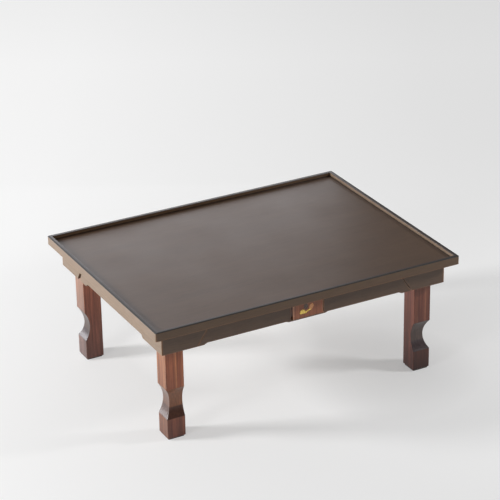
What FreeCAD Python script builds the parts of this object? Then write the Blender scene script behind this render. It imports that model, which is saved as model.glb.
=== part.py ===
import FreeCAD, Part
import Sketcher
import math
import os
from types import SimpleNamespace

# Low folding dining table: a lacquered tray top on a stepped apron, with four square
# rosewood legs, scooped on their outer faces, that fold inward along the length.
# The origin is on the floor under the middle of the table. X runs along its length,
# Y from front to back and Z up. Every size is in millimetres.

SIZES = {
    # Whole table
    "table_length": 800,
    "table_depth": 600,
    "table_height": 311,
    # Rim frame and tray board
    "rim_face": 21.5,
    "rim_base": 38.5,
    "lip_width": 9.5,
    "lip_rise": 9.5,
    "rim_corner": 3,
    "rim_outer_edge": 1.6,
    "rim_inner_edge": 1.2,
    "tray_thickness": 6.5,
    "tray_gap": 0.2,
    # Apron boards
    "apron_inset": 25.5,
    "apron_thickness": 13,
    "apron_drop": 53,
    "apron_step": 3.8,
    "apron_step_run": 8,
    "apron_edge": 1,
    "corner_board": 89,
    "corner_slant": 35,
    "step_beside_open": 28.5,
    "step_beside_closed": 18,
    "joint_closed": 0.4,
    "joint_open": 2.2,
    "side_step": 7.3,
    "side_step_near": 10,
    "side_step_far": 48,
    "notch_foot": 14.5,
    "notch_top": 9,
    "notch_rise": 21,
    # Centre panel and its opening in the long boards
    "panel_width": 78,
    "panel_proud": 4.5,
    "panel_gap": 4.5,
    "panel_edge": 0.6,
    "panel_lip": 6.8,
    "centre_lip": 96,
    "centre_lip_rise": 1.3,
    "inlay_thickness": 1.5,
    "inlay_proud": 0.4,
    "blossom_petal": 3.2,
    "blossom_ring": 4.4,
    "blossom_across": 14.9,
    "blossom_height": 13.4,
    "twig_width": 3.4,
    "twig_radius": 19.5,
    "twig_across": 21.9,
    "twig_below": 15.6,
    "leaf_length": 16.5,
    "leaf_width": 11,
    "coral_leaf_across": 23.1,
    "coral_leaf_up": 10.8,
    "grey_leaf_across": 8.6,
    "grey_leaf_up": 14.2,
    # Boards under the tray
    "rail_width": 75,
    "batten_width": 40,
    "batten_offset": 140,
    "block_depth": 9,
    "block_rise": 28,
    "block_length": 50,
    "block_inner": 75,
    "block_outer": 200,
    "block_side": 100,
    # Legs
    "leg_side": 45.5,
    "leg_inset": 45.5,
    "leg_setback": 51.5,
    "leg_edge": 0.8,
    "foot_bevel": 2.5,
    "scoop_low": 54,
    "scoop_chord": 76,
    "scoop_depth": 12.5,
    "pad_thickness": 2,
    "pad_margin": 2.8,
    "pad_corner": 1.5,
    # Folding hardware
    "leg_headroom": 0.3,
    "side_play": 0.3,
    "steel": 2,
    "pivot_below_top": 16.5,
    "pivot_from_inside": 15.5,
    "pivot_radius": 4,
    "pivot_play": 0.3,
    "rivet_play": 0.1,
    "rivet_head_radius": 6.5,
    "rivet_head": 2,
    "rivet_edge": 0.8,
    "cheek_radius": 27,
    "flange": 8,
    "guide_offset": 14,
    "guide_radius": 2.5,
    "guide_play": 0.35,
    "guide_press": 0.05,
    "spring_thickness": 0.6,
    "spring_inner": 15.5,
    "spring_outer": 24.2,
    "spring_hub": 7.5,
    "spring_stem": 9,
    "screw_radius": 1.75,
    "screw_reach": 5.5,
    "screw_play": 0.1,
    "screw_head_radius": 3.3,
    "screw_head": 1.8,
    "screw_spread": 19,
    "recess_width": 0.8,
    "recess_length": 3.6,
    "recess_depth": 1,
    # One overrun for every cut that runs right through
    "overrun": 5,
}

QUARTER_TURN = 90
HALF_TURN = 180
FULL_TURN = 360
SLOT_START = 45
SPRING_SWEEP = 130
BLOSSOM_PETALS = 5
TWIG_START = -140
TWIG_SWEEP = 48
CORAL_LEAF_LEAN = 63
GREY_LEAF_LEAN = 93
TOLERANCE = 1e-6
X_AXIS = FreeCAD.Vector(1, 0, 0)
Y_AXIS = FreeCAD.Vector(0, 1, 0)
Z_AXIS = FreeCAD.Vector(0, 0, 1)
ALONG = {"y": FreeCAD.Rotation(X_AXIS, -QUARTER_TURN), "z": FreeCAD.Rotation()}


class Length:
    """A length, as a number and as the text of the sheet expression that gives it."""

    def __init__(self, number, text):
        self.number = number
        self.text = text

    def __add__(self, other):
        return Length(self.number + other.number, f"({self.text} + {other.text})")

    def __sub__(self, other):
        return Length(self.number - other.number, f"({self.text} - {other.text})")

    def __neg__(self):
        return Length(-self.number, f"(0 - {self.text})")

    def __mul__(self, share):
        return Length(self.number * share, f"({self.text} * {share})")

    def __truediv__(self, divisor):
        return Length(self.number / divisor, f"({self.text} / {divisor})")


def hypotenuse(across, up):
    """Distance between two points that lie across and up from each other."""
    text = f"sqrt(({across.text}) ^ 2 + ({up.text}) ^ 2)"
    return Length(math.hypot(across.number, up.number), text)


def arc_radius(chord, depth):
    """Radius of the arc that has this chord and this depth."""
    number = (chord.number ** 2 / 4 + depth.number ** 2) / (2 * depth.number)
    text = f"((({chord.text}) ^ 2 / 4 + ({depth.text}) ^ 2) / (2 * {depth.text}))"
    return Length(number, text)


doc = FreeCAD.newDocument("low_folding_table")
sheet = doc.addObject("Spreadsheet::Sheet", "Sizes")
for row, (alias, number) in enumerate(SIZES.items(), start=1):
    sheet.set(f"A{row}", alias)
    sheet.set(f"B{row}", str(number))
    sheet.setAlias(f"B{row}", alias)
doc.recompute()

s = SimpleNamespace(**{alias: Length(number, f"Sizes.{alias}") for alias, number in SIZES.items()})
ZERO = Length(0, "0")
nodes = {}

# Places that several pieces share
half_length = s.table_length / 2
half_depth = s.table_depth / 2
rim_bottom = s.table_height - s.rim_face
tray_level = s.table_height - s.lip_rise
tray_bottom = tray_level - s.tray_thickness
apron_bottom = rim_bottom - s.apron_drop
apron_x = half_length - s.apron_inset
apron_y = half_depth - s.apron_inset
clear_x = half_length - s.rim_base
clear_y = half_depth - s.rim_base
board_thickness = tray_bottom - rim_bottom
plate_bottom = rim_bottom - s.steel
leg_top = plate_bottom - s.leg_headroom
leg_length = leg_top - s.pad_thickness
leg_x = half_length - s.leg_inset
leg_y = half_depth - s.leg_setback
pivot_x = leg_x - s.leg_side + s.pivot_from_inside
pivot_z = leg_top - s.pivot_below_top
leg_middle_y = leg_y - s.leg_side / 2
cheek_span = s.leg_side + (s.side_play + s.steel) * 2
cheek_y = leg_middle_y + cheek_span / 2
panel_bottom = apron_bottom + s.panel_lip
panel_rise = rim_bottom - panel_bottom
panel_face = apron_y + s.panel_proud


def place(thing, x, y, z):
    """Bind where a piece stands to the sheet."""
    for name, length in (("x", x), ("y", y), ("z", z)):
        thing.setExpression(f"Placement.Base.{name}", length.text)


def keep(label, thing):
    """Name a finished sub-part."""
    thing.Label = label
    nodes[label] = thing
    return thing


def box(name, corner, length, width, height):
    """Block from its lowest corner."""
    solid = doc.addObject("Part::Box", name)
    solid.setExpression("Length", length.text)
    solid.setExpression("Width", width.text)
    solid.setExpression("Height", height.text)
    place(solid, *corner)
    return solid


def cylinder(name, base, radius, height, axis, sweep=FULL_TURN, start=0):
    """Round bar from the middle of its base along an axis, or a sector of one."""
    solid = doc.addObject("Part::Cylinder", name)
    solid.Placement = FreeCAD.Placement(FreeCAD.Vector(), ALONG[axis] * FreeCAD.Rotation(Z_AXIS, start))
    solid.setExpression("Radius", radius.text)
    solid.setExpression("Height", height.text)
    solid.Angle = sweep
    place(solid, *base)
    return solid


def fuse(name, pieces):
    """One solid from several that touch."""
    joined = doc.addObject("Part::MultiFuse", name)
    joined.Shapes = pieces
    joined.Refine = True
    return joined


def cut(name, base, tool):
    """The base without the other's space."""
    rest = doc.addObject("Part::Cut", name)
    rest.Base = base
    rest.Tool = tool
    rest.Refine = True
    return rest


def common(name, first, second):
    """The space that two solids share."""
    shared = doc.addObject("Part::Common", name)
    shared.Base = first
    shared.Tool = second
    return shared


def group(name, pieces):
    """Separate solids that are handled as one."""
    bundle = doc.addObject("Part::Compound", name)
    bundle.Links = pieces
    return bundle


def mirror(name, source, normal):
    """Mirror image through the origin, across the given direction."""
    image = doc.addObject("Part::Mirroring", name)
    image.Source = source
    image.Normal = normal
    return image


def origin_plane(body, role):
    """One of the body's own base planes."""
    return [feature for feature in body.Origin.OriginFeatures if feature.Role == role][0]


def new_sketch(body, name, role, lift=ZERO):
    """Empty sketch on a base plane of its own body, raised along the plane's normal."""
    sketch = body.newObject("Sketcher::SketchObject", name)
    sketch.AttachmentSupport = [(origin_plane(body, role), "")]
    sketch.MapMode = "FlatFace"
    sketch.setExpression("AttachmentOffset.Base.z", lift.text)
    return sketch


def bind_point(sketch, geometry, point, position, name):
    """Hold a point of a sketch by two dimensions from the origin."""
    for kind, word, length in zip(("DistanceX", "DistanceY"), ("across", "up"), position):
        constraint = Sketcher.Constraint(kind, -1, 1, geometry, point, length.number)
        number = sketch.addConstraint(constraint)
        sketch.renameConstraint(number, f"{word}_{name}")
        sketch.setExpression(f"Constraints.{word}_{name}", length.text)


def draw_outline(sketch, points):
    """Closed outline of straight runs."""
    corners = [FreeCAD.Vector(across.number, up.number, 0) for across, up in points]
    count = len(points)
    for index in range(count):
        sketch.addGeometry(Part.LineSegment(corners[index], corners[(index + 1) % count]))
    for index in range(count):
        sketch.addConstraint(Sketcher.Constraint("Coincident", index, 2, (index + 1) % count, 1))
    for index, position in enumerate(points):
        bind_point(sketch, index, 1, position, f"corner{index}")


def draw_circle(sketch, centre, radius):
    """Whole circle."""
    middle = FreeCAD.Vector(centre[0].number, centre[1].number, 0)
    index = sketch.addGeometry(Part.Circle(middle, Z_AXIS, radius.number))
    bind_point(sketch, index, 3, centre, f"centre{index}")
    number = sketch.addConstraint(Sketcher.Constraint("Radius", index, radius.number))
    sketch.renameConstraint(number, f"radius{index}")
    sketch.setExpression(f"Constraints.radius{index}", radius.text)


def pad(body, sketch, length):
    """Thicken a sketch along its normal."""
    feature = body.newObject("PartDesign::Pad", f"{sketch.Name}_pad")
    feature.Profile = sketch
    feature.setExpression("Length", length.text)
    doc.recompute()
    return feature


def pocket(body, sketch, reversed_cut=False, length=None):
    """Cut a sketch's outline out of the body, right through or to a depth, and see that it cut."""
    before = body.Shape.Volume
    feature = body.newObject("PartDesign::Pocket", f"{sketch.Name}_cut")
    feature.Profile = sketch
    feature.Reversed = reversed_cut
    if length is None:
        feature.Type = "ThroughAll"
    else:
        feature.setExpression("Length", length.text)
    doc.recompute()
    if not feature.Shape.Volume < before:
        raise RuntimeError(f"{feature.Name} cuts nothing")
    return feature


def edge_names(shape, test):
    """Names of the edges that pass a test on their two end points and length."""
    names = []
    for number, edge in enumerate(shape.Edges, start=1):
        ends = [vertex.Point for vertex in edge.Vertexes]
        if len(ends) == 2 and test(ends[0], ends[1], edge.Length):
            names.append(f"Edge{number}")
    return names


def dress(body, kind, name, size, test):
    """Fillet or chamfer the edges of the body's last feature that pass the test."""
    base = body.Tip
    found = edge_names(base.Shape, test)
    if not found:
        raise RuntimeError(f"{name} finds no edge")
    feature = body.newObject(f"PartDesign::{kind}", name)
    feature.Base = (base, found)
    feature.setExpression("Radius" if kind == "Fillet" else "Size", size.text)
    doc.recompute()
    return feature


def near(number, length):
    """Whether a coordinate lies at a length."""
    return abs(number - length.number) < TOLERANCE


def prism(name, role, points, depth, corner):
    """Body from one outline on a base plane."""
    body = doc.addObject("PartDesign::Body", name)
    sketch = new_sketch(body, f"{name}_outline", role)
    draw_outline(sketch, points)
    pad(body, sketch, depth)
    place(body, *corner)
    return body


def rectangle(low_across, low_up, high_across, high_up):
    """The four corners of a rectangle in order."""
    return [(low_across, low_up), (high_across, low_up), (high_across, high_up), (low_across, high_up)]


def four_corners(name, source):
    """The piece at the front left corner and its three mirror images."""
    keep(f"{name}_front_left", source)
    right = keep(f"{name}_front_right", mirror(f"{name}_mirror_right", source, X_AXIS))
    keep(f"{name}_back_left", mirror(f"{name}_mirror_back", source, Y_AXIS))
    keep(f"{name}_back_right", mirror(f"{name}_mirror_both", right, Y_AXIS))


def rim_ring():
    """The whole rim frame in one piece, before it is mitred."""
    body = doc.addObject("PartDesign::Body", "rim_ring")
    outer = new_sketch(body, "rim_outer", "XY_Plane")
    draw_outline(outer, rectangle(-half_length, -half_depth, half_length, half_depth))
    pad(body, outer, s.rim_face)
    inner = new_sketch(body, "rim_inner", "XY_Plane", s.rim_face)
    draw_outline(inner, rectangle(-clear_x, -clear_y, clear_x, clear_y))
    pocket(body, inner)
    seat_x = half_length - s.lip_width
    seat_y = half_depth - s.lip_width
    seat = new_sketch(body, "rim_seat", "XY_Plane", s.rim_face)
    draw_outline(seat, rectangle(-seat_x, -seat_y, seat_x, seat_y))
    pocket(body, seat, length=s.lip_rise + s.tray_thickness)
    dress(body, "Fillet", "rim_corners", s.rim_corner,
          lambda a, b, size: near(abs(a.x), half_length) and near(abs(a.y), half_depth)
          and near(size, s.rim_face))
    dress(body, "Fillet", "rim_outer_rounding", s.rim_outer_edge,
          lambda a, b, size: near(a.z, s.rim_face) and near(b.z, s.rim_face)
          and (near(abs(a.x), half_length) or near(abs(a.y), half_depth)))
    dress(body, "Fillet", "rim_inner_rounding", s.rim_inner_edge,
          lambda a, b, size: near(a.z, s.rim_face) and near(b.z, s.rim_face)
          and near(abs(a.x), seat_x) and near(abs(a.y), seat_y))
    place(body, ZERO, ZERO, rim_bottom)
    return body


def rim():
    """Four mitred rim pieces."""
    ring = rim_ring()
    outer = {"left": -half_length, "right": half_length, "front": -half_depth, "back": half_depth}
    inner = {"left": -clear_x, "right": clear_x, "front": -clear_y, "back": clear_y}
    for side, opposite in (("front", "back"), ("back", "front")):
        points = [(outer["left"], outer[side]), (outer["right"], outer[side]),
                  (inner["right"], inner[side]), (inner["left"], inner[side])]
        wedge = prism(f"rim_wedge_{side}", "XY_Plane", points, s.rim_face, (ZERO, ZERO, rim_bottom))
        keep(f"rim_{side}", common(f"rim_piece_{side}", ring, wedge))
    for side in ("left", "right"):
        points = [(outer[side], outer["front"]), (outer[side], outer["back"]),
                  (inner[side], inner["back"]), (inner[side], inner["front"])]
        wedge = prism(f"rim_wedge_{side}", "XY_Plane", points, s.rim_face, (ZERO, ZERO, rim_bottom))
        keep(f"rim_{side}", common(f"rim_piece_{side}", ring, wedge))


def tray_board():
    """Board that lies in the rim's seat and makes the table's surface."""
    reach_x = half_length - s.lip_width - s.tray_gap
    reach_y = half_depth - s.lip_width - s.tray_gap
    keep("tray_board", box("tray_block", (-reach_x, -reach_y, tray_bottom),
                           reach_x * 2, reach_y * 2, s.tray_thickness))


def bevel_lower_edge(body, name, across, outer_face, step=ZERO, keep_sharp=ZERO):
    """Bevel the outer arris of a board's lower edge.

    across is the axis letter through the board, outer_face the place of its outer face on that
    axis, step how far the edge rises and keep_sharp half the width of an opening whose edge
    keeps its corner.
    """
    along = "x" if across == "y" else "y"
    highest = step.number + TOLERANCE

    def outside(point):
        return near(getattr(point, across), outer_face)

    dress(body, "Chamfer", f"{name}_arris", s.apron_edge,
          lambda a, b, size: outside(a) and outside(b) and max(a.z, b.z) < highest
          and (min(a.z, b.z) < TOLERANCE or abs(getattr(a, along)) > keep_sharp.number + TOLERANCE))


def lean_at(rise):
    """How far the slanted end of a board has leaned over at a height above its foot."""
    number = s.corner_slant.number * rise.number / s.apron_drop.number
    text = f"({s.corner_slant.text} * {rise.text} / {s.apron_drop.text})"
    return Length(number, text)


def apron_long(name, open_side):
    """Long middle board with a raised lower edge, a centre lip and the opening for the panel.

    The joint at the open side, -1 for the left end and 1 for the right end, stands open.
    """
    foot = apron_x - s.corner_board
    top = foot - s.corner_slant
    lip = s.centre_lip / 2
    gap = {open_side: s.joint_open, -open_side: s.joint_closed}
    step_foot = {open_side: foot - s.step_beside_open, -open_side: foot - s.step_beside_closed}
    opening = s.panel_width / 2 + s.panel_gap
    points = []
    for side in (-1, 1):
        half = [(foot - gap[side], ZERO), (step_foot[side], ZERO),
                (step_foot[side] - s.apron_step_run, s.apron_step),
                (lip + s.apron_step_run, s.apron_step), (lip, s.centre_lip_rise)]
        points += [(across * side, up) for across, up in (half if side < 0 else reversed(half))]
    points += [(top - gap[1], s.apron_drop), (opening, s.apron_drop), (opening, s.panel_lip),
               (-opening, s.panel_lip), (-opening, s.apron_drop), (gap[-1] - top, s.apron_drop)]
    body = prism(name, "XZ_Plane", points, s.apron_thickness, (ZERO, -clear_y, apron_bottom))
    bevel_lower_edge(body, name, "y", -s.apron_thickness, s.apron_step, opening)
    return body


def apron_short(name):
    """Short middle board with a raised lower edge and a notch beside its back joint."""
    foot = apron_y - s.corner_board
    top = foot - s.corner_slant - s.joint_closed
    near_step = foot - s.side_step_near
    far_step = foot - s.side_step_far
    slant = foot - lean_at(s.notch_rise)
    points = [(s.joint_closed - foot, ZERO), (-near_step, ZERO),
              (s.apron_step_run - near_step, s.side_step), (far_step - s.apron_step_run, s.side_step),
              (far_step, ZERO), (foot - s.notch_foot, ZERO), (slant - s.notch_top, s.notch_rise),
              (slant - s.joint_closed, s.notch_rise), (top, s.apron_drop), (-top, s.apron_drop)]
    body = prism(name, "YZ_Plane", points, s.apron_thickness, (-apron_x, ZERO, apron_bottom))
    bevel_lower_edge(body, name, "x", ZERO, s.side_step)
    return body


def corner_board_long(name):
    """Front board at the left corner: mitred at the corner, slanted where it meets the middle board."""
    body = prism(name, "XZ_Plane",
                 [(ZERO, ZERO), (s.corner_board, ZERO),
                  (s.corner_board + s.corner_slant, s.apron_drop), (ZERO, s.apron_drop)],
                 s.apron_thickness, (-apron_x, -clear_y, apron_bottom))
    mitre = new_sketch(body, f"{name}_mitre", "XY_Plane")
    draw_outline(mitre, [(-s.overrun, -s.apron_thickness - s.overrun), (s.apron_thickness, ZERO),
                         (s.apron_thickness + s.overrun, s.overrun), (-s.overrun, s.overrun)])
    pocket(body, mitre, reversed_cut=True)
    bevel_lower_edge(body, name, "y", -s.apron_thickness)
    return body


def corner_board_short(name):
    """Side board at the front left corner: the other half of the mitre."""
    body = prism(name, "YZ_Plane",
                 [(ZERO, ZERO), (s.corner_board, ZERO),
                  (s.corner_board + s.corner_slant, s.apron_drop), (ZERO, s.apron_drop)],
                 s.apron_thickness, (-apron_x, -apron_y, apron_bottom))
    mitre = new_sketch(body, f"{name}_mitre", "XY_Plane")
    draw_outline(mitre, [(-s.overrun, -s.overrun), (s.apron_thickness + s.overrun, -s.overrun),
                         (s.apron_thickness + s.overrun, s.apron_thickness + s.overrun)])
    pocket(body, mitre, reversed_cut=True)
    bevel_lower_edge(body, name, "x", ZERO)
    return body


def aprons():
    """Middle boards and corner boards round the table."""
    front = keep("apron_front", apron_long("apron_front_board", 1))
    turned = mirror("apron_front_turned", front, X_AXIS)
    keep("apron_back", mirror("apron_back_board", turned, Y_AXIS))
    left = keep("apron_left", apron_short("apron_left_board"))
    turned = mirror("apron_left_turned", left, Y_AXIS)
    keep("apron_right", mirror("apron_right_board", turned, X_AXIS))
    four_corners("corner_board", corner_board_long("corner_board_long"))
    four_corners("side_board", corner_board_short("corner_board_short"))


def bracket_screw(name, x, y):
    """Pan-head screw up through the bracket's flange into the rail."""
    head_bottom = plate_bottom - s.screw_head
    head = cylinder(f"{name}_head", (x, y, head_bottom), s.screw_head_radius, s.screw_head, "z")
    shank = cylinder(f"{name}_shank", (x, y, plate_bottom), s.screw_radius, s.steel + s.screw_reach, "z")
    arms = []
    for length, width in ((s.recess_length, s.recess_width), (s.recess_width, s.recess_length)):
        arms.append(box(f"{name}_arm", (x - length / 2, y - width / 2, head_bottom - s.overrun),
                        length, width, s.overrun + s.recess_depth))
    return cut(name, fuse(f"{name}_body", [head, shank]), fuse(f"{name}_recess", arms))


def screw_places():
    """Where the four screws of the front left bracket stand."""
    outer = -cheek_y - s.flange / 2
    inner = cheek_span - cheek_y + s.flange / 2
    return [(x, y) for x in (-pivot_x - s.screw_spread, -pivot_x + s.screw_spread) for y in (outer, inner)]


def under_boards():
    """Rails that carry the leg brackets, battens across the tray board and glue blocks."""
    bores = []
    for index, (x, y) in enumerate(screw_places()):
        bores.append(cylinder(f"rail_bore_{index}", (x, y, rim_bottom - s.overrun),
                              s.screw_radius + s.screw_play, s.screw_reach + s.screw_play + s.overrun, "z"))
    front_bores = group("rail_bores_front", bores)
    back_bores = mirror("rail_bores_back", front_bores, Y_AXIS)
    blank = box("rail_blank", (-clear_x, -clear_y, rim_bottom), s.rail_width, clear_y * 2, board_thickness)
    left = cut("rail_left", cut("rail_half_bored", blank, front_bores), back_bores)
    keep("hinge_rail_left", left)
    keep("hinge_rail_right", mirror("rail_right", left, X_AXIS))
    for name, middle in (("left", -s.batten_offset), ("centre", ZERO), ("right", s.batten_offset)):
        keep(f"batten_{name}", box(f"batten_block_{name}",
                                   (middle - s.batten_width / 2, -clear_y, rim_bottom),
                                   s.batten_width, clear_y * 2, board_thickness))
    block_bottom = rim_bottom - s.block_rise
    blocks = []
    for name, middle in (("inner", s.block_inner), ("outer", s.block_outer)):
        blocks.append(box(f"block_{name}", (-middle - s.block_length / 2, -clear_y, block_bottom),
                          s.block_length, s.block_depth, s.block_rise + board_thickness))
    blocks.append(box("block_side", (-clear_x, -s.block_side - s.block_length / 2, block_bottom),
                      s.block_depth, s.block_length, s.block_rise))
    quarter = group("blocks_front_left", blocks)
    right = mirror("blocks_front_right", quarter, X_AXIS)
    back = mirror("blocks_back_left", quarter, Y_AXIS)
    both = mirror("blocks_back_right", right, Y_AXIS)
    keep("glue_blocks", group("blocks_all", [quarter, right, back, both]))


def leg():
    """Front left leg: square, scooped on its two outer faces, its inner top corner rounded to turn."""
    side = s.leg_side
    body = doc.addObject("PartDesign::Body", "leg_body")
    plan = new_sketch(body, "leg_plan", "XY_Plane")
    draw_outline(plan, rectangle(ZERO, ZERO, side, side))
    pad(body, plan, leg_length)
    dress(body, "Chamfer", "leg_foot", s.foot_bevel, lambda a, b, size: near(a.z, ZERO) and near(b.z, ZERO))
    dress(body, "Fillet", "leg_arrises", s.leg_edge, lambda a, b, size: abs(a.z - b.z) > TOLERANCE)
    dress(body, "Fillet", "leg_heel", s.pivot_from_inside,
          lambda a, b, size: near(a.z, leg_length) and near(b.z, leg_length) and near(a.x, side)
          and near(b.x, side))
    radius = arc_radius(s.scoop_chord, s.scoop_depth)
    centre = (s.scoop_depth - radius, s.scoop_low + s.scoop_chord / 2 - s.pad_thickness)
    outer_scoop = new_sketch(body, "scoop_outer", "XZ_Plane")
    draw_circle(outer_scoop, centre, radius)
    pocket(body, outer_scoop)
    front_scoop = new_sketch(body, "scoop_front", "YZ_Plane")
    draw_circle(front_scoop, centre, radius)
    pocket(body, front_scoop, reversed_cut=True)
    pivot = (side - s.pivot_from_inside, leg_length - s.pivot_below_top)
    bores = new_sketch(body, "leg_bores", "XZ_Plane")
    draw_circle(bores, pivot, s.pivot_radius + s.pivot_play)
    guide = (pivot[0] - s.guide_offset, pivot[1] - s.guide_offset)
    draw_circle(bores, guide, s.guide_radius + s.guide_press)
    pocket(body, bores)
    place(body, -leg_x, -leg_y, s.pad_thickness)
    four_corners("leg", body)


def foot_pad():
    """Felt pad under the front left leg."""
    size = s.leg_side - s.pad_margin * 2
    body = prism("foot_pad_body", "XY_Plane", rectangle(ZERO, ZERO, size, size), s.pad_thickness,
                 (s.pad_margin - leg_x, s.pad_margin - leg_y, ZERO))
    dress(body, "Fillet", "foot_pad_corners", s.pad_corner, lambda a, b, size: abs(a.z - b.z) > TOLERANCE)
    four_corners("foot_pad", body)


def guide_slot(height, start_y):
    """Space of the curved slots: a quarter turn about the pivot, round at both ends."""
    reach = hypotenuse(s.guide_offset, s.guide_offset)
    half_width = s.guide_radius + s.guide_play
    centre = (-pivot_x, start_y, pivot_z)
    outer = cylinder("slot_outer", centre, reach + half_width, height, "y", QUARTER_TURN, SLOT_START)
    inner = cylinder("slot_inner", centre, reach - half_width, height, "y")
    ends = [cylinder(f"slot_end_{word}", (across - pivot_x, start_y, pivot_z - s.guide_offset),
                     half_width, height, "y")
            for word, across in (("standing", -s.guide_offset), ("folded", s.guide_offset))]
    return fuse("slot_space", [cut("slot_band", outer, inner)] + ends)


def leg_bracket():
    """Pressed bracket: a flanged plate under the rail and two cheeks beside the leg."""
    start = -cheek_y
    drop = plate_bottom - pivot_z
    plate = box("bracket_plate", (-pivot_x - s.cheek_radius, start - s.flange, plate_bottom),
                s.cheek_radius * 2, cheek_span + s.flange * 2, s.steel)
    pieces = [plate]
    for word, cheek_start in (("outer", start), ("inner", start + cheek_span - s.steel)):
        pieces.append(box(f"cheek_block_{word}", (-pivot_x - s.cheek_radius, cheek_start, pivot_z),
                          s.cheek_radius * 2, s.steel, drop))
        pieces.append(cylinder(f"cheek_round_{word}", (-pivot_x, cheek_start, pivot_z),
                               s.cheek_radius, s.steel, "y", HALF_TURN))
    through = cheek_span + s.overrun * 2
    bore = cylinder("bracket_bore", (-pivot_x, start - s.overrun, pivot_z),
                    s.pivot_radius + s.rivet_play, through, "y")
    holes = [bore, guide_slot(through, start - s.overrun)]
    for index, (x, y) in enumerate(screw_places()):
        holes.append(cylinder(f"bracket_hole_{index}", (x, y, plate_bottom - s.overrun),
                              s.screw_radius + s.screw_play, s.steel + s.overrun * 2, "z"))
    four_corners("leg_bracket", cut("bracket_pressing", fuse("bracket_blank", pieces),
                                    group("bracket_holes", holes)))


def pivot_pin():
    """Rivet that the leg turns on, headed outside both cheeks."""
    start = -cheek_y - s.rivet_head
    far = cheek_span + s.rivet_head * 2 + s.spring_thickness
    body = doc.addObject("PartDesign::Body", "pin_body")
    section = new_sketch(body, "pin_section", "YZ_Plane")
    edge = s.rivet_edge
    head = s.rivet_head_radius
    draw_outline(section, [
        (ZERO, ZERO), (far, ZERO), (far, head - edge), (far - edge, head), (far - s.rivet_head, head),
        (far - s.rivet_head, s.pivot_radius), (s.rivet_head, s.pivot_radius),
        (s.rivet_head, head), (edge, head), (ZERO, head - edge)])
    turned = body.newObject("PartDesign::Revolution", "pin_turned")
    turned.Profile = section
    turned.ReferenceAxis = (section, ["H_Axis"])
    turned.Angle = FULL_TURN
    doc.recompute()
    place(body, -pivot_x, start, pivot_z)
    four_corners("pivot_pin", body)


def guide_pin():
    """Cross pin in the leg whose ends run in the bracket's slots and stop the leg at both ends."""
    start = -cheek_y + s.side_play
    pin = cylinder("guide_pin_bar", (-pivot_x - s.guide_offset, start, pivot_z - s.guide_offset),
                   s.guide_radius, cheek_span - s.side_play * 2, "y")
    four_corners("guide_pin", pin)


def detent_spring():
    """Leaf held by the pivot pin over the inner slot, for the guide pin to click against."""
    start = cheek_span - cheek_y
    centre = (-pivot_x, start, pivot_z)
    sector = cylinder("spring_sector", centre, s.spring_outer, s.spring_thickness, "y", SPRING_SWEEP,
                      (HALF_TURN - SPRING_SWEEP) / 2)
    space = cylinder("spring_space", centre, s.spring_inner, s.spring_thickness, "y")
    band = cut("spring_band", sector, space)
    stem = box("spring_stem", (-pivot_x - s.spring_stem / 2, start, pivot_z - s.spring_outer + s.steel),
               s.spring_stem, s.spring_thickness, s.spring_outer - s.steel)
    hub = cylinder("spring_hub", centre, s.spring_hub, s.spring_thickness, "y")
    bore = cylinder("spring_bore", centre, s.pivot_radius + s.rivet_play, s.spring_thickness, "y")
    four_corners("detent_spring", cut("spring_leaf", fuse("spring_blank", [band, stem, hub]), bore))


def bracket_screws():
    """All the screws of the four brackets."""
    screws = [bracket_screw(f"bracket_screw_{index}", x, y) for index, (x, y) in enumerate(screw_places())]
    quarter = group("screws_front_left", screws)
    right = mirror("screws_front_right", quarter, X_AXIS)
    back = mirror("screws_back_left", quarter, Y_AXIS)
    both = mirror("screws_back_right", right, Y_AXIS)
    keep("bracket_screws", group("screws_all", [quarter, right, back, both]))


def leaf(name, middle_x, middle_z, start_y, lean):
    """Pointed leaf between two arcs, leaning by the given angle from level."""
    radius = arc_radius(s.leaf_length, s.leaf_width / 2)
    shift = radius - s.leaf_width / 2
    sides = []
    for word, sign in (("over", 1), ("under", -1)):
        across = shift * (-math.sin(math.radians(lean)) * sign)
        up = shift * (math.cos(math.radians(lean)) * sign)
        sides.append(cylinder(f"{name}_{word}", (middle_x + across, start_y, middle_z + up),
                              radius, s.inlay_thickness, "y"))
    return common(name, sides[0], sides[1])


def inlays():
    """Half blossom with its twig and two leaves let into the front panel, one inlay a colour."""
    start = -panel_face - s.inlay_proud
    level = panel_bottom + s.blossom_height
    heart = (-s.blossom_across, start, level)
    petals = [cylinder("blossom_heart", heart, s.blossom_petal, s.inlay_thickness, "y")]
    for index in range(BLOSSOM_PETALS):
        angle = math.radians(index * HALF_TURN / (BLOSSOM_PETALS - 1))
        petals.append(cylinder(f"blossom_petal_{index}",
                               (s.blossom_ring * math.cos(angle) - s.blossom_across, start,
                                level + s.blossom_ring * math.sin(angle)),
                               s.blossom_petal, s.inlay_thickness, "y"))
    bend = (s.twig_across - s.blossom_across, start, level - s.twig_below)
    twig = cut("twig", cylinder("twig_outer", bend, s.twig_radius + s.twig_width / 2, s.inlay_thickness, "y",
                                TWIG_SWEEP, TWIG_START),
               cylinder("twig_inner", bend, s.twig_radius - s.twig_width / 2, s.inlay_thickness, "y"))
    gold = fuse("inlay_gold", petals + [twig])
    coral = cut("inlay_coral", leaf("coral_leaf", s.coral_leaf_across - s.blossom_across,
                                    level + s.coral_leaf_up, start, CORAL_LEAF_LEAN), gold)
    grey = leaf("inlay_grey", s.grey_leaf_across - s.blossom_across, level + s.grey_leaf_up, start,
                GREY_LEAF_LEAN)
    return {"gold": gold, "coral": coral, "grey": grey}


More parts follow.
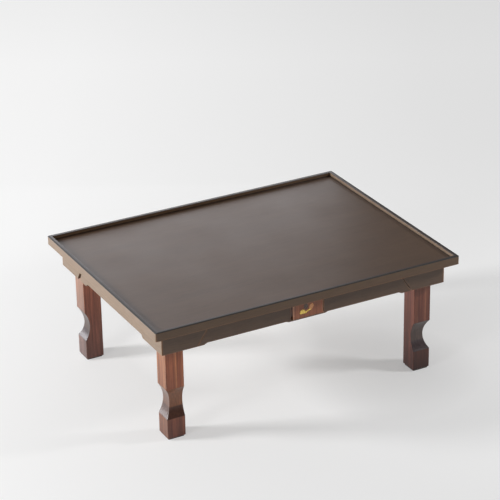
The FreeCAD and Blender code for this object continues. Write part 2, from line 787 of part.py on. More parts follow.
def centre_panels():
    """Rosewood blocks in the openings of the long boards, with their inlays."""
    body = prism("panel_block", "XZ_Plane",
                 rectangle(-s.panel_width / 2, ZERO, s.panel_width / 2, panel_rise),
                 s.apron_thickness + s.panel_proud, (ZERO, -clear_y, panel_bottom))
    face = -(s.apron_thickness + s.panel_proud)
    dress(body, "Chamfer", "panel_arris", s.panel_edge,
          lambda a, b, size: near(a.y, face) and near(b.y, face))
    pieces = inlays()
    recess = fuse("inlay_recess", list(pieces.values()))
    front = keep("centre_panel_front", cut("panel_front", body, recess))
    keep("centre_panel_back", mirror("panel_back", front, Y_AXIS))
    for colour, piece in pieces.items():
        keep(f"inlay_{colour}_front", piece)
        keep(f"inlay_{colour}_back", mirror(f"inlay_{colour}_mirror", piece, Y_AXIS))


def check_model():
    """Stop if any feature failed or any sub-part is not a sound solid."""
    for thing in doc.Objects:
        if "Invalid" in thing.State or "Error" in thing.State:
            raise RuntimeError(f"{thing.Name} failed: {thing.State}")
    for label, thing in nodes.items():
        if thing.Shape.isNull() or not thing.Shape.isValid() or not thing.Shape.Solids:
            raise RuntimeError(f"{label} is not a sound solid")


def write_parts():
    """One file for each sub-part."""
    os.makedirs("parts", exist_ok=True)
    for label, thing in nodes.items():
        thing.Shape.exportStep(f"parts/{label}.step")
        print(f"{label:28s} solids {len(thing.Shape.Solids):2d} volume {thing.Shape.Volume / 1000:9.2f} cm3")


rim()
tray_board()
aprons()
under_boards()
leg()
foot_pad()
leg_bracket()
pivot_pin()
guide_pin()
detent_spring()
bracket_screws()
centre_panels()
doc.recompute()
check_model()
write_parts()
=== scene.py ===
import math

import bpy
from mathutils import Matrix, Vector


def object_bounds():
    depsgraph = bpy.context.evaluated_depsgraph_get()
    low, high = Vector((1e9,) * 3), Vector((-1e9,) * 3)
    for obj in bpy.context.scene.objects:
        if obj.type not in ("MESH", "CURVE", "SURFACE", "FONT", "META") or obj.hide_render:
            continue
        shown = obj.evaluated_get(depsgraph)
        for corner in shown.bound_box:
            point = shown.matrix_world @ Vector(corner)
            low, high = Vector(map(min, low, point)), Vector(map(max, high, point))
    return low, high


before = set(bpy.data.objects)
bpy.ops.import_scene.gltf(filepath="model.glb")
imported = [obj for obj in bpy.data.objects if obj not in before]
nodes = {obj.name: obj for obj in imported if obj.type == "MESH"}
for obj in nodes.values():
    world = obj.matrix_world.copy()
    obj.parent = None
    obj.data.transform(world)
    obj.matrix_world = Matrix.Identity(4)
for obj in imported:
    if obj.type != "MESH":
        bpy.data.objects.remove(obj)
cad_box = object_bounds()

# The camera, fitted to the rim, apron and feet in the photograph. Lengths are in metres.
PICTURE_WIDTH = 500
FOCAL_PIXELS = 2107.4
SENSOR_MM = 36
CAMERA_AZIMUTH = math.radians(-27.885)
CAMERA_ELEVATION = math.radians(25.103)
CAMERA_ROLL = math.radians(-1.04)
CAMERA_OFFSET = Vector((0.006242, 0.271099, 5.191185))
CAMERA_REACH = 50
VIEW_DIRECTION = Vector((-math.sin(CAMERA_AZIMUTH), math.cos(CAMERA_AZIMUTH), 0))
VIEW_RIGHT = Vector((math.cos(CAMERA_AZIMUTH), math.sin(CAMERA_AZIMUTH), 0))

# Places on the object that the finishes follow, in metres. A skin is how far from a surface a
# place still counts as lying on it.
HALF_LENGTH, HALF_DEPTH, RIM_TOP = cad_box[1]
LIP_WIDTH = 0.0095
LIP_RISE = 0.0095
LIP_SKIN = 0.001
TRAY_TOP = RIM_TOP - LIP_RISE
EDGE_INWARD = 0.0036
EDGE_DOWN = 0.0014
# Painted shade lies on the lip's inner wall just above the tray, in the crease.
CREASE_SHADE_SKIN = 0.0024
CREASE_SHADE_LOW = 0.00144
CREASE_SHADE_HIGH = 0.00288
WORN_HIGHLIGHT_TOP = RIM_TOP - 0.006
LEG_MIDDLE = 0.3329
LEG_TONE_TOP = 0.2
LIT_BLEND = 0.01
PANEL_HALF = 0.039
PANEL_FACE = 0.279
PANEL_END_SKIN = 0.0022
PANEL_END_FULL = 0.0008
OPENING_END = 0.0435
OPENING_SKIN = 0.0006
SCOOP_RADIUS = 0.06401
SCOOP_AXIS_X = 0.40601
SCOOP_AXIS_Y = 0.30001
SCOOP_AXIS_Z = 0.092
SCOOP_SKIN = 0.0004
SCOOP_LEDGE = 0.0785
LEDGE_BLEND = 0.0015
STRIPE_LOW = 0.05
STRIPE_HIGH = 0.13
STRIPE_CORE = 0.0005
STRIPE_REACH = 0.0042
STRIPE_WANDER = 0.006

# ARRIS is the radius of a rounded arris. Its mask grows as the cosine between the rounded and
# the flat normal falls from ARRIS_BEGINS to ARRIS_FULL. A surface looks along an axis where that
# part of its normal is larger than FACING.
ARRIS = 0.0013
ARRIS_SAMPLES = 6
ARRIS_BEGINS = 0.99
ARRIS_FULL = 0.90
FACING = 0.7

# Tones of the lacquer and the woods. A pair of scoop tones lies above and below the ledge.
TRAY_TONE = (0.078, 0.043, 0.024)
TRAY_SHADE = (0.064, 0.035, 0.019)
RIM_TONE = (0.112, 0.064, 0.033)
RIM_SHADE = (0.092, 0.051, 0.026)
APRON_TONE = (0.111, 0.065, 0.038)
APRON_SHADE = (0.085, 0.048, 0.030)
LIP_TONE = (0.036, 0.025, 0.021)
EDGE_TONE = (0.016, 0.014, 0.013)
EDGE_ROUGH = 0.6
# Painted shade in the crease where the tray meets the lip's inner wall.
CREASE_SHADE_TONE = (0.016, 0.009, 0.006)
CREASE_SHADE_SHARE = 0.75
# The next tone is painted light: faces that look along the table's length are made paler.
SIDE_LIT_TONE = (0.222, 0.155, 0.106)
END_TONE = (0.075, 0.032, 0.013)
END_ROUGH = 0.85
# The next two tones are partly thinned lacquer on the arrises and partly a painted highlight.
WORN_HIGHLIGHT_TONE = (0.19, 0.086, 0.036)
SIDE_WORN_HIGHLIGHT = (0.27, 0.175, 0.105)
# Painted highlight on a cut that lies in shade.
OPENING_LIT_TONE = (0.42, 0.25, 0.15)
FIGURE_TONES = [(0.3, (0.165, 0.048, 0.024)), (0.5, (0.275, 0.088, 0.042)),
                (0.62, (0.32, 0.108, 0.052)), (0.74, (0.43, 0.165, 0.075))]
PLAIN_TONE = (0.30, 0.103, 0.049)
SAPWOOD_TONE = (0.58, 0.25, 0.11)
SAPWOOD_SHARE = 0.55
# Painted highlight and painted shade on the legs' arrises.
LIT_ARRIS_TONE = (0.78, 0.44, 0.23)
SHADED_ARRIS_TONE = (0.11, 0.036, 0.02)
# Painted highlight on the centre panel's ends.
PANEL_END_HIGHLIGHT = (0.80, 0.42, 0.27)
PANEL_END_HIGHLIGHT_SHARE = 0.7
PANEL_RIGHT_HIGHLIGHT_SHARE = 0.3
# The scoops' tones are painted light and shade: darker than the wood, darker again below the ledge, and
# paler on the front left leg's lit scoops.
SHADED_SCOOP = ((0.080, 0.054, 0.046), (0.060, 0.042, 0.044))
LIT_SCOOP = ((0.15, 0.088, 0.068), (0.105, 0.068, 0.060))
LIT_AND_SHADED_FRONT_SCOOP = ((0.21, 0.080, 0.036), (0.078, 0.032, 0.020))
SCOOP_ROUGH = 0.29
SATIN_IOR = 1.5


def empty_material(name):
    """Material with its node tree emptied, and its output."""
    material = bpy.data.materials.new(name)
    material.use_nodes = True
    tree = material.node_tree
    tree.nodes.clear()
    return material, tree, tree.nodes.new("ShaderNodeOutputMaterial")


def new_material(name):
    """Material that shows its one shader."""
    material, tree, output = empty_material(name)
    shader = tree.nodes.new("ShaderNodeBsdfPrincipled")
    tree.links.new(shader.outputs["BSDF"], output.inputs["Surface"])
    return material, tree, shader


def settle(node, **values):
    """Set a node's own sockets; a word's underscores stand for spaces."""
    for word, value in values.items():
        node.inputs[word.replace("_", " ")].default_value = value


def set_or_link(tree, socket, value):
    """Give a socket a link, a number or a colour."""
    if isinstance(value, bpy.types.NodeSocket):
        tree.links.new(value, socket)
    elif isinstance(value, (int, float)):
        socket.default_value = value
    else:
        socket.default_value = (*value, 1)


def calculate(tree, operation, *values):
    """One step of arithmetic on links and numbers."""
    node = tree.nodes.new("ShaderNodeMath")
    node.operation = operation
    for socket, value in zip(node.inputs, values):
        set_or_link(tree, socket, value)
    return node.outputs[0]


def absolute(tree, value):
    """A value without its sign."""
    return calculate(tree, "ABSOLUTE", value)


def times(tree, first, second):
    """The product of two links or numbers."""
    return calculate(tree, "MULTIPLY", first, second)


def mix(tree, factor, first, second, blend="MIX"):
    """Two colours mixed; each is a link or a colour, and the factor is a link or a number."""
    node = tree.nodes.new("ShaderNodeMix")
    node.data_type = "RGBA"
    node.blend_type = blend
    sockets = (node.inputs[0], node.inputs[6], node.inputs[7])
    for socket, value in zip(sockets, (factor, first, second)):
        set_or_link(tree, socket, value)
    return node.outputs[2]


def multiply(tree, first, second):
    """Two colours multiplied."""
    return mix(tree, 1.0, first, second, "MULTIPLY")


def grey(tone):
    """A grey as a colour."""
    return (tone, tone, tone)


def ramp(tree, factor, stops):
    """Colours or greys along a factor; each stop is a place and a grey or a colour."""
    node = tree.nodes.new("ShaderNodeValToRGB")
    elements = node.color_ramp.elements
    while len(elements) < len(stops):
        elements.new(0.5)
    for element, (place, tone) in zip(elements, stops):
        element.position = place
        colour = grey(tone) if isinstance(tone, (int, float)) else tone
        element.color = (*colour, 1)
    tree.links.new(factor, node.inputs["Fac"])
    return node.outputs["Color"]


def spread(tree, value, low, high, first, last):
    """Value carried from one range to another and held at its ends."""
    node = tree.nodes.new("ShaderNodeMapRange")
    settle(node, From_Min=low, From_Max=high, To_Min=first, To_Max=last)
    tree.links.new(value, node.inputs["Value"])
    return node.outputs["Result"]


def object_place(tree, scale=(1, 1, 1)):
    """The object's own coordinates, stretched."""
    source = tree.nodes.new("ShaderNodeTexCoord")
    mapping = tree.nodes.new("ShaderNodeMapping")
    settle(mapping, Scale=scale)
    tree.links.new(source.outputs["Object"], mapping.inputs["Vector"])
    return mapping.outputs["Vector"]


def grain_place(tree, along, squeeze):
    """Coordinates squeezed along one axis, so that noise in them is drawn out into grain."""
    return object_place(tree, [squeeze if axis == along else 1 for axis in "xyz"])


def axes(tree, place):
    """The three parts of a place."""
    node = tree.nodes.new("ShaderNodeSeparateXYZ")
    tree.links.new(place, node.inputs["Vector"])
    return node.outputs["X"], node.outputs["Y"], node.outputs["Z"]


def facing(tree, along):
    """1 on the surfaces that look along one axis."""
    parts = axes(tree, tree.nodes.new("ShaderNodeTexCoord").outputs["Normal"])
    return calculate(tree, "GREATER_THAN", absolute(tree, parts["xyz".index(along)]), FACING)


def noise(tree, place, scale, detail=3, roughness=0.5, distortion=0):
    """Noise between about 0.25 and 0.75."""
    texture = tree.nodes.new("ShaderNodeTexNoise")
    settle(texture, Scale=scale, Detail=detail, Roughness=roughness, Distortion=distortion)
    tree.links.new(place, texture.inputs["Vector"])
    return texture.outputs["Fac"]


def soft_edge(tree, radius):
    """Normals that run round the arrises, and a mask of 1 on them that fades within the radius."""
    round_over = tree.nodes.new("ShaderNodeBevel")
    round_over.samples = ARRIS_SAMPLES
    settle(round_over, Radius=radius)
    flat = tree.nodes.new("ShaderNodeNewGeometry").outputs["True Normal"]
    compare = tree.nodes.new("ShaderNodeVectorMath")
    compare.operation = "DOT_PRODUCT"
    tree.links.new(round_over.outputs["Normal"], compare.inputs[0])
    tree.links.new(flat, compare.inputs[1])
    mask = spread(tree, compare.outputs["Value"], ARRIS_BEGINS, ARRIS_FULL, 0, 1)
    return round_over.outputs["Normal"], mask


def bump(tree, shader, height, distance, normal=None):
    """Relief of a given depth in metres."""
    node = tree.nodes.new("ShaderNodeBump")
    settle(node, Distance=distance)
    tree.links.new(height, node.inputs["Height"])
    if normal:
        tree.links.new(normal, node.inputs["Normal"])
    tree.links.new(node.outputs["Normal"], shader.inputs["Normal"])


def tone_lip(tree, colour, x, y, height):
    """Charcoal lip with a blacker outer edge, and painted shade low on the inner wall where the tray meets
    it.

    The mask of the outer edge comes back with the colour.
    """
    outward = calculate(tree, "MAXIMUM", calculate(tree, "SUBTRACT", absolute(tree, x), HALF_LENGTH),
                        calculate(tree, "SUBTRACT", absolute(tree, y), HALF_DEPTH))
    # Painted shade on the lowest few millimetres of the inner wall, where it meets the tray.
    inner_wall = calculate(tree, "COMPARE", outward, -LIP_WIDTH, CREASE_SHADE_SKIN)
    near_tray = spread(tree, height, TRAY_TOP + CREASE_SHADE_LOW, TRAY_TOP + CREASE_SHADE_HIGH, CREASE_SHADE_SHARE, 0)
    colour = mix(tree, times(tree, inner_wall, near_tray), colour, CREASE_SHADE_TONE)
    lip = calculate(tree, "GREATER_THAN", height, RIM_TOP - LIP_SKIN)
    colour = mix(tree, lip, colour, LIP_TONE)
    edge = times(tree, calculate(tree, "GREATER_THAN", height, RIM_TOP - EDGE_DOWN),
                 calculate(tree, "GREATER_THAN", outward, -EDGE_INWARD))
    return mix(tree, edge, colour, EDGE_TONE), edge


def lacquer(name, along, base, shade, rough, relief=0.00003, lit_side=None, worn_highlight=None, worn_highlight_reach=0.0042,
            lit_opening=None):
    """Brown satin lacquer over a fine close grain, with the lip's tones.

    side is a paler tone, a painted highlight, on the faces that look along the table's length, and
    makes those that look along its depth dark end grain. worn is the tone along the arrises, partly
    thinned lacquer and partly a painted highlight, over about half the length wear. opening is a
    painted highlight on the cut beside a centre panel's right end, which lies in shade.
    """
    material, tree, shader = new_material(name)
    fine = noise(tree, grain_place(tree, along, 0.04), scale=900, detail=4, roughness=0.6)
    broad = noise(tree, grain_place(tree, along, 0.12), scale=26, roughness=0.55, distortion=0.4)
    smudge = noise(tree, object_place(tree), scale=7, roughness=0.6)
    x, y, height = axes(tree, object_place(tree))
    tone = ramp(tree, broad, [(0.3, shade), (0.7, base)])
    satin = ramp(tree, smudge, [(0.3, rough - 0.03), (0.7, rough + 0.04)])
    # Painted highlight: a paler tone on the faces that look along the length.
    if lit_side:
        lengthwise = facing(tree, "x")
        end_grain = facing(tree, "y")
        tone = mix(tree, end_grain, mix(tree, lengthwise, tone, lit_side), END_TONE)
        satin = mix(tree, end_grain, satin, grey(END_ROUGH))
    colour = multiply(tree, tone, ramp(tree, fine, [(0.35, 0.84), (0.65, 1.12)]))
    normal = None
    # Along the arrises: partly thinned lacquer, partly a painted highlight.
    if worn_highlight:
        normal = soft_edge(tree, ARRIS)[0]
        below_lip = calculate(tree, "LESS_THAN", height, WORN_HIGHLIGHT_TOP)
        if lit_side:
            worn_highlight = mix(tree, lengthwise, worn_highlight, SIDE_WORN_HIGHLIGHT)
        colour = mix(tree, times(tree, soft_edge(tree, worn_highlight_reach)[1], below_lip), colour, worn_highlight)
    # Painted highlight on the shaded cut beside the panel's right end.
    if lit_opening:
        cut = calculate(tree, "COMPARE", x, OPENING_END, OPENING_SKIN)
        colour = mix(tree, cut, colour, lit_opening)
    colour, edge = tone_lip(tree, colour, x, y, height)
    tree.links.new(colour, shader.inputs["Base Color"])
    tree.links.new(mix(tree, edge, satin, grey(EDGE_ROUGH)), shader.inputs["Roughness"])
    bump(tree, shader, fine, relief, normal)
    settle(shader, IOR=SATIN_IOR)
    return material


def tone_stripe(tree, tone, x, z, stripe):
    """A paler wandering streak of sapwood at one place along the table's length."""
    wander = calculate(tree, "MULTIPLY_ADD", noise(tree, grain_place(tree, "z", 0.3), scale=14),
                       STRIPE_WANDER, -STRIPE_WANDER / 2)
    off = absolute(tree, calculate(tree, "SUBTRACT", calculate(tree, "ADD", x, wander), stripe))
    strength = times(tree, spread(tree, off, STRIPE_CORE, STRIPE_REACH, SAPWOOD_SHARE, 0),
                     spread(tree, z, STRIPE_LOW, STRIPE_HIGH, 0, 1))
    return mix(tree, strength, tone, SAPWOOD_TONE)


def tone_leg(tree, colour, x, z, arris, foot):
    """Painted highlight on the arrises at the outer corner of the left legs and painted shade on the other
    arrises, and darker toward the floor.
    """
    lit = spread(tree, x, -LEG_MIDDLE - LIT_BLEND, -LEG_MIDDLE + LIT_BLEND, 1, 0)
    colour = mix(tree, arris, colour, mix(tree, lit, SHADED_ARRIS_TONE, LIT_ARRIS_TONE))
    # Darker toward the floor; how much darker each leg gets is painted shade, most on the right front leg
    # in the table's shadow.
    floor_darkening = mix(tree, spread(tree, z, 0, LEG_TONE_TOP, 0, 1), foot, (1, 1, 1))
    return multiply(tree, colour, floor_darkening)


def inside_scoops(tree, x, y, z):
    """1 on the scoop that looks along the table's length, and 1 on the one along its depth."""
    up = calculate(tree, "SUBTRACT", z, SCOOP_AXIS_Z)
    masks = []
    for part, axis in ((x, SCOOP_AXIS_X), (y, SCOOP_AXIS_Y)):
        off = calculate(tree, "SUBTRACT", absolute(tree, part), axis)
        reach = calculate(tree, "SQRT", calculate(tree, "ADD", times(tree, off, off), times(tree, up, up)))
        masks.append(calculate(tree, "COMPARE", reach, SCOOP_RADIUS, SCOOP_SKIN))
    return masks


def highlight_panel_ends(tree, colour, x, y):
    """Painted highlight on the panel's ends where they stand proud, fainter at the right."""
    end = spread(tree, absolute(tree, x), PANEL_HALF - PANEL_END_SKIN, PANEL_HALF - PANEL_END_FULL,
                 0, PANEL_END_HIGHLIGHT_SHARE)
    proud = calculate(tree, "GREATER_THAN", absolute(tree, y), PANEL_FACE - PANEL_END_SKIN)
    leftward = spread(tree, calculate(tree, "LESS_THAN", x, 0), 0, 1, PANEL_RIGHT_HIGHLIGHT_SHARE, 1)
    return mix(tree, times(tree, times(tree, end, proud), leftward), colour, PANEL_END_HIGHLIGHT)


def rosewood(name, light_and_shade_tint=(1, 1, 1), lit_flank=(1, 1, 1), stripe=None, figure=1.0, foot=None,
             side_scoop=SHADED_SCOOP, front_scoop=SHADED_SCOOP):
    """Straight-grained reddish wood under satin lacquer.

    tint and flank multiply the tone, flank only on the faces that look along the table's length;
    both are painted light and shade, which make each leg lighter or darker by how light falls on it.
    stripe is where along that length a paler streak of sapwood runs, and figure is how strongly the
    broad grain shows. foot multiplies the tone at the floor, partly as painted shade, and makes the
    piece a leg, with painted light and shade on its scoops and arrises. side_scoop and front_scoop
    hold the painted tones of the scoops that look along the table's length and depth.
    """
    material, tree, shader = new_material(name)
    broad = noise(tree, grain_place(tree, "z", 0.05), scale=85, roughness=0.55, distortion=0.5)
    lines = noise(tree, grain_place(tree, "z", 0.02), scale=420, detail=4, roughness=0.6)
    pores = noise(tree, grain_place(tree, "z", 0.03), scale=1900, detail=2)
    x, y, z = axes(tree, object_place(tree))
    colour = mix(tree, figure, PLAIN_TONE, ramp(tree, broad, FIGURE_TONES))
    if stripe:
        colour = tone_stripe(tree, colour, x, z, stripe)
    streaks = ramp(tree, lines, [(0.32, 0.68), (0.66, 1.26)])
    pits = ramp(tree, pores, [(0.34, 0.6), (0.42, 1.0)])
    satin = ramp(tree, lines, [(0.3, 0.34), (0.7, 0.44)])
    for layer in (streaks, pits, light_and_shade_tint):
        colour = multiply(tree, colour, layer)
    # Painted light and shade on the faces that look along the length.
    colour = mix(tree, facing(tree, "x"), colour, multiply(tree, colour, lit_flank))
    normal, arris = soft_edge(tree, ARRIS)
    if foot:
        colour = tone_leg(tree, colour, x, z, arris, foot)
        # Painted light and shade in the scoops, with a darker painted tone below the ledge.
        ledge = spread(tree, z, SCOOP_LEDGE - LEDGE_BLEND, SCOOP_LEDGE + LEDGE_BLEND, 1, 0)
        for scoop, tones in zip(inside_scoops(tree, x, y, z), (side_scoop, front_scoop)):
            colour = mix(tree, scoop, colour, multiply(tree, mix(tree, ledge, *tones), streaks))
            satin = mix(tree, scoop, satin, grey(SCOOP_ROUGH))
    else:
        colour = highlight_panel_ends(tree, colour, x, y)
    tree.links.new(colour, shader.inputs["Base Color"])
    tree.links.new(satin, shader.inputs["Roughness"])
    bump(tree, shader, pits, distance=0.00004, normal=normal)
    settle(shader, IOR=SATIN_IOR)
    return material


def under_wood(name, along, base, shade):
    """Pale sealed wood or plywood with open grain, as under a table top."""
    material, tree, shader = new_material(name)
    broad = noise(tree, grain_place(tree, along, 0.06), scale=45, detail=4, roughness=0.6, distortion=0.8)
    fine = noise(tree, grain_place(tree, along, 0.03), scale=800, roughness=0.6)
    tone = ramp(tree, broad, [(0.3, shade), (0.7, base)])
    colour = multiply(tree, tone, ramp(tree, fine, [(0.3, 0.78), (0.65, 1.1)]))
    tree.links.new(colour, shader.inputs["Base Color"])
    tree.links.new(ramp(tree, fine, [(0.3, 0.72), (0.7, 0.6)]), shader.inputs["Roughness"])
    bump(tree, shader, fine, distance=0.0001)
    return material


def steel(name, shade, base):
    """Plated steel with a faint crystal pattern and handling marks."""
    material, tree, shader = new_material(name)
    place = object_place(tree)
    cells = tree.nodes.new("ShaderNodeTexVoronoi")
    settle(cells, Scale=260)
    tree.links.new(place, cells.inputs["Vector"])
    tone = ramp(tree, cells.outputs["Color"], [(0.0, shade), (1.0, base)])
    tree.links.new(tone, shader.inputs["Base Color"])
    marks = noise(tree, place, scale=140, detail=5, roughness=0.7)
    tree.links.new(ramp(tree, marks, [(0.3, 0.28), (0.7, 0.5)]), shader.inputs["Roughness"])
    bump(tree, shader, marks, distance=0.00003)
    settle(shader, Metallic=1.0)
    return material


def felt(name, base, shade):
    """Pressed felt."""
    material, tree, shader = new_material(name)
    fibres = noise(tree, object_place(tree), scale=2600, detail=5, roughness=0.7, distortion=1.5)
    tree.links.new(ramp(tree, fibres, [(0.3, shade), (0.7, base)]), shader.inputs["Base Color"])
    bump(tree, shader, fibres, distance=0.0003)
    settle(shader, Roughness=0.95)
    return material


def inlay(name, base, shade, metal=0.0):
    """Polished inlay with a slight change of tone across it, as shell, lacquer or gold leaf has."""
    material, tree, shader = new_material(name)
    place = object_place(tree)
    cloud = noise(tree, place, scale=420, roughness=0.6, distortion=0.6)
    tree.links.new(ramp(tree, cloud, [(0.3, shade), (0.7, base)]), shader.inputs["Base Color"])
    tree.links.new(ramp(tree, cloud, [(0.3, 0.22), (0.7, 0.34)]), shader.inputs["Roughness"])
    bump(tree, shader, noise(tree, place, scale=1500, detail=2), distance=0.00002)
    settle(shader, Metallic=metal)
    return material


tray_finish = lacquer("tray_lacquer", "x", TRAY_TONE, TRAY_SHADE, rough=0.42, relief=0.000008)
rim_finish = lacquer("rim_lacquer", "x", RIM_TONE, RIM_SHADE, rough=0.4, worn_highlight=WORN_HIGHLIGHT_TONE)
apron_finish = lacquer("apron_lacquer", "x", APRON_TONE, APRON_SHADE, rough=0.4, worn_highlight=WORN_HIGHLIGHT_TONE,
                       worn_highlight_reach=0.0055, lit_opening=OPENING_LIT_TONE)
short_finish = lacquer("side_lacquer", "y", RIM_TONE, RIM_SHADE, rough=0.4, lit_side=SIDE_LIT_TONE,
                       worn_highlight=WORN_HIGHLIGHT_TONE)
# Each leg has its own copy of the rosewood with painted light and shade: paler faces along the length
# where light falls from the left, and a darker copy for the right front leg in the table's shadow.
leg_lit_and_shaded_finishes = {
    "leg_front_left": rosewood("rosewood_front_left", light_and_shade_tint=(1.13, 1.03, 0.96), lit_flank=(0.97, 1.34, 1.46),
                               stripe=-0.3295, foot=(0.48, 0.48, 0.61), side_scoop=LIT_SCOOP,
                               front_scoop=LIT_AND_SHADED_FRONT_SCOOP),
    "leg_front_right": rosewood("rosewood_front_right", light_and_shade_tint=(0.62, 0.57, 0.68), lit_flank=(2.15, 2.05, 2.0),
                                stripe=0.3405, foot=(0.21, 0.19, 0.24)),
    "leg_back_left": rosewood("rosewood_back_left", light_and_shade_tint=(1.26, 1.2, 1.3), lit_flank=(0.88, 1.55, 2.05),
                              foot=(0.47, 0.55, 0.76)),
    "leg_back_right": rosewood("rosewood_back_right", light_and_shade_tint=(0.9, 0.88, 0.95), foot=(0.40, 0.42, 0.55)),
}
panel_finish = rosewood("rosewood_panel", figure=0.35)
rail_finish = under_wood("softwood", "y", (0.52, 0.36, 0.21), (0.38, 0.25, 0.14))
block_finish = under_wood("softwood_blocks", "x", (0.48, 0.32, 0.18), (0.36, 0.23, 0.12))
steel_finish = steel("zinc_steel", (0.50, 0.51, 0.52), (0.66, 0.66, 0.65))
bronze_finish = steel("bronzed_steel", (0.10, 0.052, 0.026), (0.15, 0.082, 0.042))
felt_finish = felt("felt", (0.05, 0.036, 0.028), (0.012, 0.009, 0.008))
inlay_finishes = {
    "gold": inlay("inlay_gold", (0.88, 0.64, 0.16), (0.74, 0.49, 0.09), metal=0.4),
    "coral": inlay("inlay_coral", (0.74, 0.34, 0.14), (0.60, 0.25, 0.095)),
    "grey": inlay("inlay_grey", (0.13, 0.08, 0.06), (0.10, 0.06, 0.045)),
}


def finish_for(name):
    """The material that a node of the frame takes."""
    if name == "tray_board":
        return tray_finish
    if name in ("rim_left", "rim_right", "apron_left", "apron_right") or name.startswith("side_board"):
        return short_finish
    if name.startswith("rim_"):
        return rim_finish
    if name.startswith(("apron_", "corner_board")):
        return apron_finish
    if name.startswith("inlay_"):
        return inlay_finishes[name.split("_")[1]]
    if name.startswith("leg_bracket"):
        return bronze_finish
    if name.startswith(("pivot_pin", "guide_pin", "detent_spring", "bracket_screws")):
        return steel_finish
    if name in leg_lit_and_shaded_finishes:
        return leg_lit_and_shaded_finishes[name]
    if name.startswith("centre_panel"):
        return panel_finish
    if name.startswith("foot_pad"):
        return felt_finish
    return block_finish if name == "glue_blocks" else rail_finish


for name, thing in nodes.items():
    for slot in thing.material_slots:
        slot.material = finish_for(name)

# The studio. The floor's own glow is painted light: it changes across the view and away from it,
# and in two pools under the table, a painted pool of light and a painted shadow.
FLOOR_COLOUR = (0.84, 0.84, 0.84)
FLOOR_REACH = 14
FLOOR_GLOW_SHARE = 0.42
FLOOR_GLOW_LEFT = 1.03
FLOOR_GLOW_RIGHT = 0.88
FLOOR_GLOW_SPAN = 0.6
FLOOR_GLOW_NEAR = 0.94
FLOOR_GLOW_FAR = 1.4
FLOOR_NEAR = -0.5
FLOOR_FAR = 2.15
LIGHT_POOL = {"middle": (-0.02, 0.12), "reach": 0.25, "strength": 0.31}
SHADE_POOL = {"middle": (0.245, -0.21), "reach": 0.245, "strength": -0.2}

# The wall that only reflections show, with a bright window far at its left
CARD_DISTANCE = 1.1
CARD_LEFT_END = -3.6
CARD_RIGHT_END = 0.279
CARD_HEIGHT = 3.0
CARD_COLOUR = (0.99, 0.99, 1.03)
CARD_ACROSS = {"low": -0.5, "high": 0.36, "first": 1.45, "last": 0.83}
CARD_UPWARD = {"low": 0.55, "high": 1.0, "first": 2.4, "last": 0.48}
CARD_WINDOW = {"low": -2.4, "high": -1.9, "first": 4.5, "last": 0}

# Light from all round, which leans to the left
DOME = 0.25
DOME_LEAN = 0.25
DOME_SEEN = 0.84
DOME_REFLECTED = {"low": -0.3, "high": 0.3, "first": 0.1, "last": 0.26}

LAMP_TARGET = Vector((0, 0, 0.15))
LAMPS = {
    "key": {"toward": (-0.868, 0.327, 0.375), "distance": 4.6, "size": 0.9, "power": 200},
    "left_front_fill": {"toward": (-0.818, -0.308, 0.486), "distance": 3.0, "size": 0.6, "power": 13},
    "right_front_fill": {"toward": (1.26, -0.81, 0.83), "distance": 1.71, "size": 0.2, "power": 10},
}


def make_panel(name, corners, material):
    """Flat stage piece from its four corners."""
    mesh = bpy.data.meshes.new(name)
    mesh.from_pydata(corners, [], [(0, 1, 2, 3)])
    mesh.materials.append(material)
    panel = bpy.data.objects.new(name, mesh)
    bpy.context.scene.collection.objects.link(panel)
    return panel


def rays_seen(tree, *words):
    """1 for a ray of any of the named kinds."""
    paths = tree.nodes.new("ShaderNodeLightPath")
    total = paths.outputs[words[0]]
    for word in words[1:]:
        total = calculate(tree, "MAXIMUM", total, paths.outputs[word])
    return total


def measured(tree, direction):
    """How far from the middle a place lies in a level direction."""
    x, y, _ = axes(tree, object_place(tree))
    return calculate(tree, "MULTIPLY_ADD", x, direction.x, times(tree, y, direction.y))


def pool(tree, middle, reach, strength):
    """A round patch on the floor, strongest in its middle and nothing at its reach."""
    x, y, _ = axes(tree, object_place(tree))
    off_x = calculate(tree, "SUBTRACT", x, middle[0])
    off_y = calculate(tree, "SUBTRACT", y, middle[1])
    square = calculate(tree, "MULTIPLY_ADD", off_x, off_x, times(tree, off_y, off_y))
    return spread(tree, square, 0, reach * reach, strength, 0)


def make_floor():
    """Pale floor; a share of its tone is its own, so that the shadows on it stay light.

    Under the table its glow is painted paler, a painted pool of light where light reaches in from
    the left, and painted darker, a painted shadow where the shadows of the lamps meet.
    """
    material, tree, output = empty_material("floor")
    shader = tree.nodes.new("ShaderNodeBsdfPrincipled")
    settle(shader, Base_Color=(*FLOOR_COLOUR, 1), Roughness=0.9, Specular_IOR_Level=0.1)
    glow = tree.nodes.new("ShaderNodeEmission")
    across = spread(tree, measured(tree, VIEW_RIGHT), -FLOOR_GLOW_SPAN, FLOOR_GLOW_SPAN,
                    FLOOR_GLOW_LEFT, FLOOR_GLOW_RIGHT)
    away = spread(tree, measured(tree, VIEW_DIRECTION), FLOOR_NEAR, FLOOR_FAR, FLOOR_GLOW_NEAR,
                  FLOOR_GLOW_FAR)
    pools = calculate(tree, "ADD", pool(tree, **LIGHT_POOL), pool(tree, **SHADE_POOL))
    tree.links.new(calculate(tree, "MULTIPLY_ADD", across, away, pools), glow.inputs["Strength"])
    both = tree.nodes.new("ShaderNodeMixShader")
    seen = rays_seen(tree, "Is Camera Ray", "Is Glossy Ray", "Is Transmission Ray")
    tree.links.new(times(tree, seen, FLOOR_GLOW_SHARE), both.inputs[0])
    tree.links.new(shader.outputs["BSDF"], both.inputs[1])
    tree.links.new(glow.outputs["Emission"], both.inputs[2])
    tree.links.new(both.outputs["Shader"], output.inputs["Surface"])
    reach = FLOOR_REACH
    make_panel("floor", [(-reach, -reach, 0), (reach, -reach, 0), (reach, reach, 0), (-reach, reach, 0)],
               material)


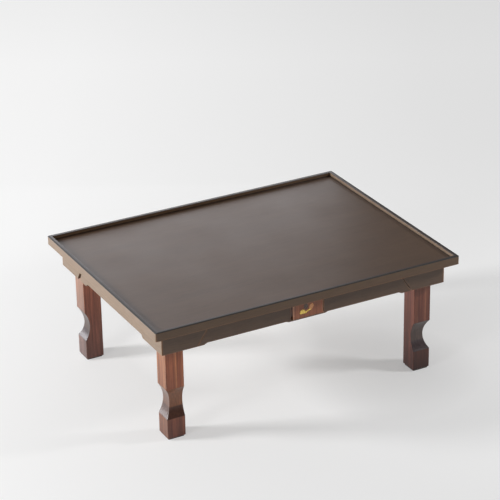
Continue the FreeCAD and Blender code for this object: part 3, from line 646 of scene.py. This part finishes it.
def make_card():
    """White wall behind the table that only reflections show, brighter toward the left."""
    material, tree, output = empty_material("card")
    glow = tree.nodes.new("ShaderNodeEmission")
    height = axes(tree, object_place(tree))[2]
    across = measured(tree, VIEW_RIGHT)
    wall = times(tree, spread(tree, across, **CARD_ACROSS), spread(tree, height, **CARD_UPWARD))
    window = spread(tree, across, **CARD_WINDOW)
    tree.links.new(calculate(tree, "ADD", wall, window), glow.inputs["Strength"])
    settle(glow, Color=(*CARD_COLOUR, 1))
    tree.links.new(glow.outputs["Emission"], output.inputs["Surface"])
    middle = VIEW_DIRECTION * CARD_DISTANCE
    left = middle + VIEW_RIGHT * CARD_LEFT_END
    right = middle + VIEW_RIGHT * CARD_RIGHT_END
    top = Vector((0, 0, CARD_HEIGHT))
    card = make_panel("card", [left, right, right + top, left + top], material)
    card.visible_camera = False
    card.visible_diffuse = False
    card.visible_shadow = False
    card.visible_transmission = False


def make_world():
    """Even light from all round, with its own tones where the camera or a reflection sees it."""
    world = bpy.data.worlds.new("studio")
    bpy.context.scene.world = world
    world.use_nodes = True
    tree = world.node_tree
    tree.nodes.clear()
    background = tree.nodes.new("ShaderNodeBackground")
    output = tree.nodes.new("ShaderNodeOutputWorld")
    east, north, _ = axes(tree, tree.nodes.new("ShaderNodeTexCoord").outputs["Generated"])
    total = calculate(tree, "MULTIPLY_ADD", east, -DOME * DOME_LEAN, DOME)
    total = mix(tree, rays_seen(tree, "Is Glossy Ray"), total, spread(tree, north, **DOME_REFLECTED))
    total = mix(tree, rays_seen(tree, "Is Camera Ray"), total, grey(DOME_SEEN))
    tree.links.new(total, background.inputs["Color"])
    tree.links.new(background.outputs["Background"], output.inputs["Surface"])


def make_lamp(name, toward, distance, size, power):
    """Square soft lamp that shines on the table from a given direction."""
    lamp = bpy.data.lights.new(name, "AREA")
    lamp.size = size
    lamp.energy = power
    thing = bpy.data.objects.new(name, lamp)
    bpy.context.scene.collection.objects.link(thing)
    thing.location = LAMP_TARGET + Vector(toward).normalized() * distance
    thing.rotation_euler = Vector(toward).to_track_quat("Z", "Y").to_euler()


def make_camera():
    """Camera from the fitted numbers, looking as the photograph does."""
    back = -VIEW_DIRECTION * math.cos(CAMERA_ELEVATION)
    back.z = math.sin(CAMERA_ELEVATION)
    down = (-back).cross(VIEW_RIGHT)
    level = Matrix((VIEW_RIGHT, down, -back))
    rows = Matrix.Rotation(CAMERA_ROLL, 3, "Z") @ level
    camera = bpy.data.cameras.new("camera")
    camera.sensor_width = SENSOR_MM
    camera.lens = FOCAL_PIXELS * SENSOR_MM / PICTURE_WIDTH
    camera.clip_end = CAMERA_REACH
    thing = bpy.data.objects.new("camera", camera)
    bpy.context.scene.collection.objects.link(thing)
    columns = Matrix((rows[0], -rows[1], -rows[2])).transposed()
    thing.matrix_world = Matrix.Translation(-(rows.transposed() @ CAMERA_OFFSET)) @ columns.to_4x4()
    bpy.context.scene.camera = thing


make_floor()
make_card()
make_world()
for name, lamp in LAMPS.items():
    make_lamp(name, **lamp)
make_camera()
bpy.context.scene.view_settings.view_transform = "Standard"
